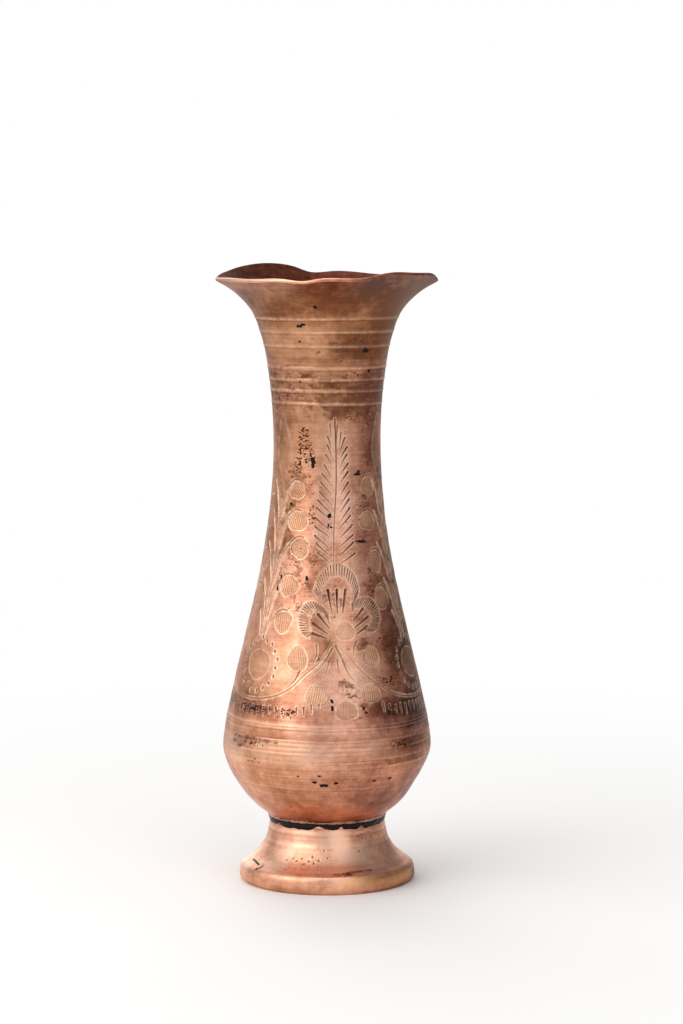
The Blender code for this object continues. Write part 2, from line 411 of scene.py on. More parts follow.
# Petals as outline, the place their cuts aim at, spokes, and the cuts' length and spacing in mm.
PETALS = (
    ([(-18, 125.5), (-15, 131), (-8, 135.7), (0.4, 137), (10.4, 135.2), (17.6, 130.7), (19, 126.5),
      (13, 121.5)], (0, 112),
     ([(-7, 126.5), (-3.85, 117)], [(0.4, 126.5), (0.22, 117)], [(7.6, 126.5), (4.18, 117)]),
     4.6, 1.4),
    ([(-6, 116.5), (-13, 120.5), (-21, 121.5), (-27, 119), (-29, 114.5), (-27, 109.8), (-20, 107)],
     (-6, 111.5),
     ([(-14.5, 116.7), (-6, 111)], [(-18, 113), (-7, 108.7)], [(-18, 108.9), (-7.5, 106.9)]),
     4.3, 1.15),
    ([(12, 121), (23, 123), (32, 121), (35.5, 115), (32, 110.7), (23, 109)], (9, 112),
     ([(21, 118.5), (12, 113.8)], [(24.5, 115.2), (12.5, 111)], [(22.5, 111.3), (13.5, 108.4)]),
     4.4, 1.1),
)

# Pods by the side their stem comes from, as (angle from their column, height, half width, half
# height), and the stem's path in the pod's half widths and half heights.
PODS = {
    -1: ((-40, 166.8, 3.4, 3.5), (-37.5, 154, 4.1, 3.7), (-33, 142.9, 3.9, 3.9),
         (-41, 127.5, 4.1, 3.9), (-42, 112.7, 4.1, 4.1)),
    1: ((39.5, 168.3, 3.2, 3.7), (35, 154.2, 3.7, 3.6), (39.5, 137.3, 3.6, 4.1),
        (40.7, 122, 3.6, 4.2)),
    0: ((-27.5, 98.4, 4.1, 4.7), (23, 99, 3.5, 3.6), (-13.6, 83.6, 4.4, 3.9), (3.5, 78, 4.4, 3.8),
        (20, 84.2, 3.9, 3.4)),
}
POD_STEM = ((-2.48, -1.2), (-1.25, 0.55), (-0.45, 1.22), (0.35, 1.18))

STALK = ((1, 171), (1.4, 150), (1.1, 125), (0.4, 106))  # as (share of its width, height)
BLADE_TIPS = ((14, 170.5), (13.5, 157.5), (15.5, 144.5), (12.5, 129.5), (9, 116))
LOW_BLADES = 120  # blades whose tips are below this height are short
MEDALLION, DOT_RING, DOTS = 94.7, 10.6, 19  # height, radius and number
BELLY_RADIUS = 37.5  # the vase's own, near the medallion
FRINGE_TOP, FRINGE_COUNT = 78.3, 81
FRINGE_GAP = (-12, 24)  # angles from a column, under the flower


def shifted(path, angle):
    """The path of (angle, height), moved round the vase."""
    return [(a + angle, z) for a, z in path]


def towards(skin, start, target, length):
    """The place this many mm from start in the direction of target."""
    radius = np.interp(start[1], skin.height, skin.radius)
    across, along = math.radians(target[0] - start[0]) * radius, target[1] - start[1]
    share = length / math.hypot(across, along)
    return start[0] + share * (target[0] - start[0]), start[1] + share * along


def engrave_barb(skin, middle, z, side, reach, random):
    """A tapered barb of the palm, from its tip, this reach in mm, down to the midrib."""
    across = side * math.degrees(1 / outer(z))
    far = across * (reach + random.uniform(-0.4, 0.4))
    near = across * random.uniform(1.7, 2.3)
    drop = random.uniform(4.4, 5.6)
    bow = (far + near) / 2 - side * 0.6
    width = (0.95 if side > 0 else 0.72) * random.uniform(0.85, 1.1)
    path = [(middle + far, z), (middle + bow, z - 0.55 * drop), (middle + near, z - drop)]
    skin.engrave(path, width, 0.2, bend=3)


def engrave_palm(skin, column, random):
    """A tall palm leaf: a midrib with barbs on both sides, and three strokes at its top."""
    skin.engrave(shifted(MIDRIB, column), 0.3, 0.62, bend=8)
    angles, heights = zip(*MIDRIB)
    for side, reach in BARB_REACH.items():
        for i in range(BARBS):
            z = LOWEST_BARB + BARB_PITCH * i + random.uniform(-0.5, 0.5)
            middle = column + np.interp(z, heights, angles)
            engrave_barb(skin, middle, z, side, np.interp(z, *zip(*reach)), random)
    for angle, low, high in ((-4.6, 188.5, 194.5), (3.2, 186, 194), (7.4, 185, 191)):
        skin.engrave([(column + angle, high), (column + 0.75 * angle, low)], 0.6, 0.15)


def engrave_petal(skin, outline, centre, spokes, cut_length, spacing, random):
    """A scalloped petal: its outline, short cuts inside it, and deep spokes."""
    path = smooth(outline, 10)
    skin.engrave(path, 0.42, 0.42, bend=1, burr=1.3, shade=0.3)
    flat = np.column_stack([np.radians(path[:, 0]) * outer(outline[0][1]), path[:, 1]])
    run = distances(flat)
    for at in np.arange(1.0, run[-1] - 0.8, spacing):
        at += random.uniform(-0.12, 0.12)
        start = (np.interp(at, run, path[:, 0]), np.interp(at, run, path[:, 1]))
        inwards = towards(skin, start, centre, 0.35)
        end = towards(skin, start, centre, cut_length * random.uniform(0.8, 1.1))
        skin.engrave([inwards, end], 0.66, 0.32, depth=0.22, burr=1.1, shade=0.8)
    within = [towards(skin, place, centre, cut_length + 0.4) for place in outline[1:-1]]
    skin.engrave(within, 0.5, 0.5, depth=0.02, burr=0.6, shade=0.1)
    for spoke in spokes:
        skin.engrave(spoke, 1.25, 0.35, depth=0.4)


def engrave_flower(skin, column, random):
    """A three-petalled flower with a hatched heart, where the palm grows from."""
    for outline, (angle, height), spokes, cut_length, spacing in PETALS:
        spokes = [shifted(spoke, column) for spoke in spokes]
        engrave_petal(skin, shifted(outline, column), (column + angle, height), spokes, cut_length,
                      spacing, random)
    skin.disc(column + 5.5, 110, 3.7, 3.6, 12, fill=0.65)


def engrave_pod(skin, angle, height, wide, tall, stem_side, random):
    """A hatched pod on a curved stem that comes from stem_side. At 0 it has none."""
    hatch_angle = -stem_side * random.uniform(15, 40)
    skin.disc(angle, height, wide, tall, hatch_angle, tilt=random.uniform(-12, 12))
    if stem_side:
        across = stem_side * wide * math.degrees(1 / outer(height))
        path = [(angle - across * x, height + tall * z) for x, z in POD_STEM]
        skin.engrave(path, 0.25, 0.6, shade=0.7)


def engrave_garland(skin, column):
    """Swags that run from the flower's foot round to the next column, and sprigs over them."""
    for swag in SWAGS:
        skin.engrave(shifted(swag, column), 0.35, 0.6, bend=8, burr=1.3, shade=0.5)
    for sprig in SPRIGS:
        skin.engrave(shifted(sprig, column), 0.75, 0.2, bend=4, shade=0.7)


def engrave_blade(skin, column, side, tip, z, random):
    """A long leaf from beside the stalk out to its tip: a broad bright stroke, and a thin one."""
    lean = side * (tip + random.uniform(-0.7, 0.7))
    drop = random.uniform(14, 17) if z > LOW_BLADES else 10
    root, point = (side * 3.2, z - drop), (lean, z)
    middle = (0.45 * lean + side * 1.6, z - 0.42 * drop)
    skin.engrave(shifted([root, middle, point], column), 0.5, 0.9, bend=5, burr=1.4, shade=0)
    above = [(root[0] - side * 1.2, root[1] + 1), (middle[0] - side * 3, middle[1] + 0.8), point]
    skin.engrave(shifted(above, column), 0.3, 0.2, bend=5, shade=0.4)


def engrave_medallion(skin, angle, random):
    """A hatched disc ringed with dots, each with a short flick."""
    skin.disc(angle, MEDALLION, 6.3, 5.8, 55, outline=0.3, uneven=0.02, fill=0.7)
    for i in range(DOTS):
        around = math.tau * (i + 0.5) / DOTS
        reach = DOT_RING + random.uniform(-0.5, 0.5)
        a = angle + math.degrees(reach * math.sin(around) / BELLY_RADIUS)
        z = MEDALLION - reach * math.cos(around)
        skin.disc(a, z, 0.42, 0.5, 0, outline=0.5, uneven=0)
        skin.engrave([(a, z), (a + 0.5, z + 0.9)], 0.85, 0.5, depth=0.35, burr=1.4, shade=0.9)


def engrave_plant(skin, column, random):
    """A tall bud on a two-line stalk with long blades, over a medallion."""
    skin.disc(column, 184.4, 4.0, 11.0, 70, outline=0, uneven=0.02, fill=0.5)
    skin.engrave(shifted(BUD, column), 0.45, 0.45, burr=0.7, shade=0.35)
    for width in (-1.6, 1.2):
        skin.engrave([(column + width * share, z) for share, z in STALK], 0.3, 0.6, shade=0.25)
    for tip, z in BLADE_TIPS:
        for side in (-1, 1):
            engrave_blade(skin, column, side, tip, z, random)
    engrave_medallion(skin, column + 1, random)


def engrave_fringe(skin, random):
    """Short keyhole punches that hang under the swags, all round but for the gaps."""
    for i in range(FRINGE_COUNT):
        angle = i * 360 / FRINGE_COUNT
        from_column = (angle - COLUMN + REPEAT / 2) % REPEAT - REPEAT / 2
        if FRINGE_GAP[0] < from_column < FRINGE_GAP[1]:
            continue
        rise = 2.2 * math.exp(-(((abs(from_column - 5) - 18) / 9) ** 2))
        top = FRINGE_TOP + rise + random.uniform(-0.3, 0.3)
        punch = [(angle, top), (angle + 0.2, top - random.uniform(2.6, 3.6))]
        skin.engrave(punch, 0.8, 0.3, burr=1.15, shade=random.uniform(0.55, 1))


def engrave_body(skin):
    """The whole engraving. Each repeat has its own small errors."""
    for copy in range(360 // REPEAT):
        random = np.random.default_rng(11 + copy)
        column = COLUMN + copy * REPEAT
        engrave_palm(skin, column, random)
        engrave_flower(skin, column, random)
        engrave_garland(skin, column)
        engrave_plant(skin, column + REPEAT / 2, random)
        for stem_side, pods in PODS.items():
            for angle, height, wide, tall in pods:
                engrave_pod(skin, column + angle, height, wide, tall, stem_side, random)
    engrave_fringe(skin, np.random.default_rng(5))


# ---------------------------------------------------------------- wear

# Patina as (angle, height, half width, half height, tone): tone 1 is rubbed bare and 0 is dark.
# The dark places at the right, about 45 to 80 degrees, are partly real patina and partly painted
# shade for the side turned from the lights.
MOUTH_PATINA_AND_SHADE = (
    (-44, 241, 30, 20, 0.24), (6, 243, 15, 18, 0.22), (12, 238, 7, 8, 0.34),
    (56, 240, 27, 24, -0.2), (-16, 230.5, 21, 7, 0.74), (-15, 223.5, 16, 2.2, 0.7),
    (18, 223.5, 9, 2.4, 0.66), (48, 226, 12, 8, 0.1), (27, 231, 9, 9, 0.14),
)
# Its dark places at the right are partly painted shade.
BODY_PATINA_AND_SHADE = (
    (0, 208, 70, 12, 0.38), (-38, 208, 9, 12, 0.52), (55, 206, 14, 16, 0.08),
    (10, 216, 18, 4, 0.66), (-8, 219, 14, 2.5, 0.62), (-42, 190, 7, 12, 0.64),
    (-56, 184, 8, 15, 0.46), (-52, 184, 4.2, 10, 0.2), (68, 184, 4.5, 10, 0.2),
    (-24, 184, 8, 10, 0.6), (12, 170, 9, 27, 0.95), (34, 176, 6, 16, 0.84), (52, 170, 6, 22, 0.5),
    (76, 150, 12, 50, 0.34), (-30, 137, 13, 28, 0.62), (-58, 135, 12, 30, 0.52),
    (27, 128, 8, 16, 0.84), (35, 136, 4, 5, 0.66), (47, 122, 7, 12, 0.58), (54, 99, 10, 13, 0.16),
    (26, 98, 10, 15, 0.94), (64, 128, 6, 20, 0.36), (68, 100, 12, 26, 0.04), (8, 116, 15, 11, 0.78),
    (8, 129.5, 4.5, 2.3, 0.4), (-12, 114, 4.5, 3.2, 0.4), (26, 115, 4.5, 3, 0.5),
    (8, 90, 17, 13, 0.9), (-24, 94, 12, 10, 0.6), (-36, 110, 14, 9, 0.56), (-17, 124, 5, 10, 0.6),
    (-55, 94, 14, 14, 0.56), (-60, 80, 12, 5, 0.34), (54, 77, 17, 4.5, 0.16),
    (-52, 77.5, 17, 3.5, 0.4), (2, 103, 2.6, 3.5, 0.2), (44, 87, 9, 5, 0.4), (0, 70, 40, 2.5, 0.8),
    (60, 70, 20, 3, 0.24),
)
# Its dark places at the right are partly painted shade.
BOWL_PATINA_AND_SHADE = (
    (-20, 60, 120, 9, 0.92), (0, 40, 120, 11, 0.55), (52, 57, 23, 15, 0.18), (60, 40, 22, 14, 0.34),
    (0, 33, 120, 3.4, 0.54), (20, 62, 9, 4, 0.86), (34, 50, 12, 4, 0.42), (-47, 61, 2.6, 7, 0.58),
    (-45, 48, 2, 6, 0.45),
)
# Its dark places at the right are partly painted shade.
FOOT_PATINA_AND_SHADE = (
    (58, 12, 20, 9, 0.7), (60, 22, 19, 5, 0.5), (-64, 10, 12, 4, 0.7), (0, 8.6, 34, 2, 1.05),
    (72, 3, 19, 4, 0.12), (20, 13, 11, 8, 1.1), (-32, 10, 12, 3, 0.9), (46, 5, 12, 2.4, 0.45),
)
# Brown patina with sharp edges, in the same form; the last number is how much it covers.
MOUTH_CRUST = ((10, 227, 22, 7, 0.75), (40, 230, 16, 10, 0.8), (20, 240, 10, 8, 0.5))
BODY_CRUST = (
    (0, 209, 40, 12, 0.85), (24, 200, 14, 5, 1), (58, 184, 9, 18, 0.9), (-50, 182, 12, 18, 0.6),
    (-42, 150, 10, 22, 0.9), (-26, 124, 14, 14, 0.85), (42, 160, 6, 16, 0.75),
    (42, 126, 9, 16, 0.8), (54, 98, 12, 13, 0.9), (12, 88, 9, 7, 0.85), (-50, 77, 18, 4, 1),
    (36, 78, 16, 5, 1.1), (6, 122, 12, 12, 0.8), (-20, 102, 12, 6, 0.6), (24, 104, 9, 4, 0.85),
    (0, 98, 8, 5, 0.75), (-24, 168, 8, 8, 0.85), (-12, 140, 6, 8, 0.8),
)
BOWL_CRUST = (
    (-56, 63, 13, 4, 1), (56, 63, 16, 5, 1.1), (-36, 64.5, 10, 1.5, 1), (48, 56, 14, 2, 1),
)
# Golden places, specks and black stains, in the same form; the last number is the strength.
MOUTH_GOLD = ((-26, 238, 34, 26, 1.1), (-20, 226, 18, 14, 1))
BODY_GOLD = (
    (20, 150, 30, 80, 0.15), (-52, 170, 17, 50, 0.95), (-48, 95, 30, 40, 0.9),
    (-24, 214, 22, 16, 1), (-40, 146, 5, 7, 0.9), (-43, 148, 2, 4.5, 1.8), (-31, 99, 2, 6, 1.5),
    (-34, 152, 4, 3, 0.8), (-30, 120, 12, 26, 0.3), (-33, 98, 4, 10, 0.8), (-54, 184, 8, 13, 0.5),
    (-38, 208, 9, 12, 0.4), (-50, 77, 16, 5, 0.5), (2, 103, 2.6, 3.5, 0.9), (12, 128, 4, 3, 0.4),
    (-14, 110, 3, 2, 0.7),
)
BOWL_GOLD = ((-44, 50, 40, 30, 0.7), (20, 56, 40, 16, 0.5))
BODY_SPECKS = (
    (-25, 187, 3.6, 8, 0.95), (-19, 181, 4.5, 7, 0.9), (-31, 176, 2.4, 3.4, 1),
    (-15, 157, 2.6, 7, 1), (4, 153, 1.8, 5, 0.9), (31, 146, 5, 1.6, 1), (-22, 76.5, 8, 3, 0.8),
    (42, 77, 5, 4, 0.9), (20, 190, 3, 5, 0.6), (-50, 77, 14, 3, 0.85), (34, 160, 5, 8, 0.65),
    (12, 88, 11, 9, 0.5), (46, 104, 10, 10, 0.6), (3, 143, 5, 4, 0.5), (-30, 140, 5, 12, 0.6),
    (38, 124, 5, 12, 0.6), (-8, 118, 10, 10, 0.5), (-4, 168, 9, 14, 0.45), (-12, 141, 8, 8, 0.56),
    (28, 152, 8, 12, 0.5), (42, 88, 10, 6, 0.7),
)
BOWL_SPECKS = (
    (-46, 63, 12, 3, 0.7), (48, 63, 12, 3, 0.8), (-44, 56, 8, 2.6, 0.6), (60, 56, 8, 3, 0.6),
    (8, 49, 20, 2.4, 0.5),
)
MOUTH_STAINS = (
    (-8, 243, 1, 0.9, 1), (-23, 234.8, 1.3, 0.6, 1), (-19, 235.6, 1.2, 0.5, 1),
    (-24, 228.5, 0.6, 0.5, 1), (38, 224.6, 1.7, 1.1, 1),
)
BODY_STAINS = (
    (-14.7, 179.4, 1.25, 1.5, 1), (-14.9, 177, 0.8, 1.3, 1), (3, 156.6, 0.9, 1.1, 1),
    (1.5, 152.6, 0.5, 1, 1), (35, 174.6, 0.9, 0.6, 1), (33, 173.4, 1.7, 0.5, 1),
    (34, 145.8, 2.6, 0.6, 1), (22.6, 159.4, 0.5, 0.5, 1), (-17, 131, 0.8, 1.1, 1),
    (-42, 131, 0.6, 1.1, 1), (-44.5, 126.5, 0.6, 2, 1), (3.2, 82, 0.7, 0.9, 1),
    (3.4, 79, 0.6, 1.4, 1), (22, 78.5, 0.6, 0.9, 1), (23.5, 76.8, 0.8, 0.5, 1),
    (39, 75.6, 0.5, 1.4, 1), (-38.5, 161, 0.9, 0.7, 1), (45, 216, 0.7, 1.2, 1),
    (-27, 212, 0.4, 0.9, 1), (-48, 77, 2.6, 0.9, 0.8),
)
BOWL_STAINS = (
    (-1.4, 47.1, 1.9, 0.95, 1), (5.4, 48, 1.1, 0.8, 1), (-6.9, 48.5, 1.1, 0.6, 1),
    (-3.8, 51.3, 1.1, 0.5, 1), (28, 48.3, 1, 0.55, 1), (38.8, 48.6, 1.1, 0.6, 1),
    (-16, 51, 0.7, 0.35, 1),
)
# Pits and scratches in the foot's skin, as (angle, height).
FOOT_PITS = (
    (-35.6, 12.4), (-26, 12.4), (-12.7, 14.2), (0.2, 13.9), (-2.6, 16.7), (-15.3, 12.6), (-7, 13),
    (-19, 11.6), (-30, 13.2), (-22, 13.4), (-11, 12), (29.6, 15.8), (44.2, 22.8), (36, 21),
    (-32, 9.2),
)
SCRATCHES = ([(-73.9, 9.5), (-66, 9.3), (-58.7, 8.8)], [(-57.5, 7.4), (-55.5, 7.7), (-53.4, 8.9)])
# The foot's dirt and orange residue, in the same form as the patina.
FOOT_CRUST = ((10, 8.2, 9, 0.9, 0.95), (28, 8.9, 9, 0.6, 1))
RESIDUE = ((58, 4.8, 8, 2.4, 1), (38, 5, 12, 1.8, 0.9), (20, 5.6, 7, 1.2, 0.7))


def all_round(places):
    """The places, after copies of them a third of the way round that keep off the front."""
    copies = [(angle + step, *rest) for step in (REPEAT, -REPEAT)
              for angle, *rest in places if abs(angle) < REPEAT / 2 < abs(angle + step) - 20]
    return [*copies, *places]


def scatter(skin, count, seed):
    """Small black stains and speckled places over the sides and the back."""
    random = np.random.default_rng(seed)
    for _ in range(count):
        angle = random.uniform(85, 275)
        height = random.uniform(skin.height.min(), skin.height.max())
        size = random.uniform(0.4, 1.2)
        wide = size * random.uniform(0.7, 2)
        skin.dab("black", [(angle, height, wide, size, 1)])
        beside = angle + random.uniform(-9, 9)
        skin.dab("speck", [(beside, height, 5 * size, 4 * size, 0.75)])


def weather(skin, seed):
    """Raises the burrs beside cuts, keeps crust off the hatching and makes all uneven."""
    places = skin.places()
    skin.burr *= 1 - skin.cut
    skin.lift += 0.035 * skin.burr
    skin.lift += 0.07 * ripple(places, 17, seed) + 0.02 * ripple(places, 5, seed + 1)
    skin.tone += 0.10 * ripple(places, 22, seed + 2) + 0.07 * ripple(places, 7, seed + 3)
    skin.gold += 0.15 * ripple(places, 25, seed + 4)
    skin.crust *= 1 - skin.fill


def shape_mouth(angle, radius, height):
    """Lifts and creases the mouth's edge, less and less down to EDGE_START."""
    lift, pull = edge_at(angle)
    share = np.clip((height - EDGE_START) / (VASE_OUTLINE[-1][1] - EDGE_START), 0, None) ** 2
    return radius - pull * share, height + lift * share


def stand(angle, radius, height):
    """Keeps the foot's skin above the floor."""
    return radius, np.maximum(height, 0)


# ---------------------------------------------------------------- pieces

def rolled_lip():
    """The half round of the mouth's edge, from the outside over to the inside."""
    centre, across = (OUTSIDE[-1] + INSIDE[-1]) / 2, (OUTSIDE[-1] - INSIDE[-1]) / 2
    beyond = np.array([-across[1], across[0]])
    turns = np.radians(range(20, 180, 20))
    return np.array([centre + math.cos(a) * across + math.sin(a) * beyond for a in turns])


def make_mouth():
    """The flared mouth with its rolled edge. Its tongue goes down inside the body."""
    outside = resample(stretch(OUTSIDE, NECK_SEAM + HAIRLINE, OUTSIDE[-1][1]), 0.35)
    lip = rolled_lip()
    inside = resample(stretch(INSIDE, NECK_SEAM, INSIDE[-1][1])[::-1], 0.9)
    tongue = lap_joint(NECK_SEAM, DOWN, 1)[::-1]
    skin = Skin(outside, [lip, inside, tongue], columns=420)
    edge = slice(skin.face.stop, skin.face.stop + len(lip) - 1)
    skin.inside[edge] = 0
    skin.tone[skin.face] = 0.3
    skin.dab("tone", all_round(MOUTH_PATINA_AND_SHADE))
    for ridge in MOUTH_RIDGES:
        skin.ring(ridge, RIDGE_RISE, RIDGE_WIDTH, rub=1.0)
    skin.dab("crust", all_round(MOUTH_CRUST))
    skin.dab("gold", all_round(MOUTH_GOLD))
    skin.dab("black", MOUTH_STAINS)
    scatter(skin, count=5, seed=32)
    # painted highlight: the lip's edge is made bright and golden where it faces the lights, at the
    # left front and the back
    wear_and_highlight = facing(skin.angle, -34, 46) + 0.6 * facing(skin.angle, 160, 60)
    skin.tone[edge] = 0.1 + 0.9 * wear_and_highlight
    skin.gold[edge] = 0.7 * wear_and_highlight
    weather(skin, seed=31)
    return skin.mesh("mouth_skin", closed=True, shape=shape_mouth)


def make_body():
    """The engraved body from belly to neck, with a socket at each end."""
    outside = resample(stretch(OUTSIDE, BELLY_SEAM + HAIRLINE, NECK_SEAM), 0.34)
    inside = resample(stretch(INSIDE, BELLY_SEAM + LAP, NECK_SEAM - LAP)[::-1], 2.0)
    sockets = lap_joint(NECK_SEAM, DOWN, -1), lap_joint(BELLY_SEAM, UP, -1)[::-1]
    skin = Skin(outside, [sockets[0], inside, sockets[1]], columns=740)
    engrave_body(skin)
    skin.dab("tone", all_round(BODY_PATINA_AND_SHADE))
    for ridge in BODY_RIDGES:
        skin.ring(ridge, RIDGE_RISE, RIDGE_WIDTH, rub=1.05)
    for line in BODY_LINES:
        skin.ring(line, rise=0.12, width=0.42, rub=0.9, broken=0.5)
    skin.dab("crust", all_round(BODY_CRUST))
    skin.dab("gold", all_round(BODY_GOLD))
    skin.dab("speck", all_round(BODY_SPECKS))
    skin.dab("black", BODY_STAINS)
    scatter(skin, count=16, seed=42)
    weather(skin, seed=41)
    return skin.mesh("body_skin", closed=True)


def make_lower_bowl():
    """The bowl up to the belly, with its floor and the stub that stands in the foot."""
    collar = [(COLLAR_RADIUS, COLLAR_BOTTOM), (COLLAR_RADIUS, COLLAR_TOP)]
    wall = stretch(OUTSIDE, COLLAR_TOP + 0.1, BELLY_SEAM - HAIRLINE)
    outside = resample(np.vstack([collar, wall]), 0.4)
    inside = resample(stretch(INSIDE, FLOOR_TOP + WALL, BELLY_SEAM + LAP)[::-1], 1.5)
    floor = np.array([(STUB_INSIDE, FLOOR_TOP + 0.4), (10, FLOOR_TOP), (2, FLOOR_TOP)])
    underside = np.array([
        (2, FLOOR_UNDERSIDE), (STUB_INSIDE, FLOOR_UNDERSIDE), (STUB_INSIDE, STUB_BOTTOM),
        (STUB_RADIUS, STUB_BOTTOM), (STUB_RADIUS, COLLAR_BOTTOM),
    ])
    after = [lap_joint(BELLY_SEAM, UP, 1), inside, floor]
    skin = Skin(outside, after, columns=480, before=[underside])
    skin.dab("tone", BOWL_PATINA_AND_SHADE)
    skin.dab("crust", BOWL_CRUST)
    skin.dab("gold", BOWL_GOLD)
    for line in BELLY_LINES:
        skin.ring(line, rise=0.06, width=0.4, rub=0.7, broken=0.7, darkening=0.14)
    for line in BOWL_LINES:
        skin.ring(line, rise=0.07, width=0.42, rub=0.5, broken=0.5, darkening=0.08)
    skin.dab("speck", all_round(BOWL_SPECKS))
    skin.dab("black", BOWL_STAINS)
    scatter(skin, count=7, seed=52)
    skin.dab("lift", [(90, 45, 16, 8, -0.9)])  # a flat knocked into the side
    lacquer_line(skin, COLLAR_TOP - 0.1, 0.28)
    skin.black[skin.face] += np.clip((LACQUER_TOP - skin.height) / 0.2, 0, 1)[:, None]
    weather(skin, seed=51)
    return skin.mesh("bowl_skin", closed=False)


def make_foot():
    """The hollow foot, with a golden band at its bottom and lacquer at its top."""
    outside = resample(smooth(FOOT_OUTLINE, 8), 0.35)
    bore = np.array([(FOOT_BORE, FOOT_TOP), (FOOT_BORE, FOOT_HOLLOW[-1][1] + 1.5)])
    hollow = resample(smooth(FOOT_HOLLOW[::-1], 6), 1.2)
    skin = Skin(outside, [bore, hollow], columns=720)
    skin.tone[skin.face] = 0.82
    skin.dab("tone", FOOT_PATINA_AND_SHADE)
    for line in FOOT_LINES:
        skin.ring(line, rise=0.08, width=0.8, rub=1.3, darkening=0.1)
    band = np.clip((BAND_TOP - skin.height) / 1.2, 0, 1)[:, None]
    skin.gold[skin.face] += 0.9 * band
    skin.tone[skin.face] -= 0.08 * band
    mark_foot(skin)
    swell = np.exp(-((skin.height - 10) / 2.5) ** 2)[:, None] * facing(skin.angle, 90, 25)
    skin.lift[skin.face] += 0.35 * swell  # the right side stands out a little
    skin.black[skin.face] += lacquer_cover(skin)
    weather(skin, seed=61)
    return skin.mesh("foot_skin", closed=True, shape=stand)


def mark_foot(skin):
    """Pits, scratches, dirt and residue on the foot."""
    for angle, height in FOOT_PITS:
        pit = [(angle, height), (angle + 0.6, height + 0.2)]
        skin.engrave(pit, 0.6, 0.9, depth=0.15, burr=0.3, shade=0.75)
        skin.dab("gold", [(angle, height, 1.4, 1.4, 0.5)])
    for scratch in SCRATCHES:
        skin.dab("black", [(*spot, 0.25, 0.25, 1) for spot in smooth(scratch, 16)])
    skin.dab("crust", FOOT_CRUST)
    skin.dab("rub", [(*place, 0.4 * share) for *place, share in RESIDUE])
    skin.gold += 0.8 * skin.rub
    skin.dab("gold", [(-40, 14, 44, 14, 0.5)])
    skin.dab("gold", [(*place, 2.2 * share) for *place, share in RESIDUE])


def lacquer_cover(skin):
    """1 over the lacquer's ragged lower edge and 0 under it, with bites where it has chipped."""
    around = np.radians(skin.angle)
    edge = LACQUER_BOTTOM + 0.12 * np.cos(5 * around) + 0.1 * np.cos(13 * around + 1)
    edge += 0.07 * np.cos(31 * around)
    for angle, spread, bite in CHIPS:
        edge += bite * facing(skin.angle, angle, spread) ** 2
    return np.clip((skin.height[:, None] - edge) / 0.25, 0, 1)


def lacquer_line(skin, height, width):
    """A thin broken line of lacquer left round the skin."""
    around = np.radians(skin.angle)
    kept = 0.75 + 0.4 * np.cos(9 * around + 1) + 0.3 * np.cos(23 * around)
    gap = skin.height[:, None] - height - 0.12 * np.cos(4 * around)
    skin.black[skin.face] += np.exp(-((gap / width) ** 2)) * np.clip(kept, 0, 1)


def make_lacquer():
    """Black lacquer that fills the groove between foot and bowl, chipped along its lower edge."""
    low, high = FOOT_TOP + HAIRLINE, COLLAR_BOTTOM - HAIRLINE
    outline = [(24.15, low), (24.5, low + 0.5), (24.55, high - 0.5), (24.45, high)]
    outside = resample(smooth(outline, 6), 0.2)
    bore = np.array([(STUB_RADIUS + 0.3, high), (STUB_RADIUS + 0.3, low)])
    skin = Skin(outside, [bore], columns=480)
    skin.tone += 0.4
    skin.black[:] = 1
    skin.black[skin.face] = lacquer_cover(skin)
    skin.lift[skin.face] += 0.12 * ripple(skin.places()[skin.face], size=4, seed=71)
    weather(skin, seed=72)
    return skin.mesh("lacquer_skin", closed=True)


# ---------------------------------------------------------------- materials

class Graph:
    """Short hands for building the nodes of a material or a world."""

    def __init__(self, owner):
        owner.use_nodes = True
        self.tree = owner.node_tree

    def put(self, socket, value):
        if isinstance(value, bpy.types.NodeSocket):
            self.tree.links.new(value, socket)
        elif isinstance(value, tuple) and len(value) == 3 and socket.type == "RGBA":
            socket.default_value = (*value, 1)
        else:
            socket.default_value = value

    def feed(self, node, inputs):
        for key, value in dict(inputs).items():
            self.put(node.inputs[key], value)

    def node(self, kind, inputs=(), **settings):
        made = self.tree.nodes.new("ShaderNode" + kind)
        for key, value in settings.items():
            setattr(made, key, value)
        self.feed(made, inputs)
        return made

    def field(self, name):
        return self.node("Attribute", attribute_name=name).outputs["Fac"]

    def maths(self, operation, *values, clamp=False):
        made = self.node("Math", operation=operation, use_clamp=clamp)
        for socket, value in zip(made.inputs, values):
            self.put(socket, value)
        return made.outputs[0]

    def mix(self, share, a, b):
        return self.node("Mix", {0: share, 6: a, 7: b}, data_type="RGBA").outputs[2]

    def ramp(self, value, low, high, out_low=0.0, out_high=1.0, kind="LINEAR"):
        inputs = {"Value": value, "From Min": low, "From Max": high,
                  "To Min": out_low, "To Max": out_high}
        return self.node("MapRange", inputs, interpolation_type=kind).outputs[0]

    def noise(self, scale, detail, roughness=0.55, stretch=(1, 1, 1)):
        place = self.node("TexCoord").outputs["Object"]
        place = self.node("Mapping", {"Vector": place, "Scale": stretch}).outputs[0]
        inputs = {"Vector": place, "Scale": scale, "Detail": detail, "Roughness": roughness}
        return self.node("TexNoise", inputs).outputs["Fac"]

    def vector(self, operation, *values):
        made = self.node("VectorMath", dict(enumerate(values)), operation=operation)
        return made.outputs["Value" if operation in ("LENGTH", "DOT_PRODUCT") else "Vector"]

    def bump(self, height, strength, distance, **under):
        inputs = {"Height": height, "Strength": strength, "Distance": distance, **under}
        return self.node("Bump", inputs).outputs[0]


def rgb(red, green, blue):
    """A linear colour from 0-255 display values."""
    return tuple((c / 255) ** 2.2 for c in (red, green, blue))


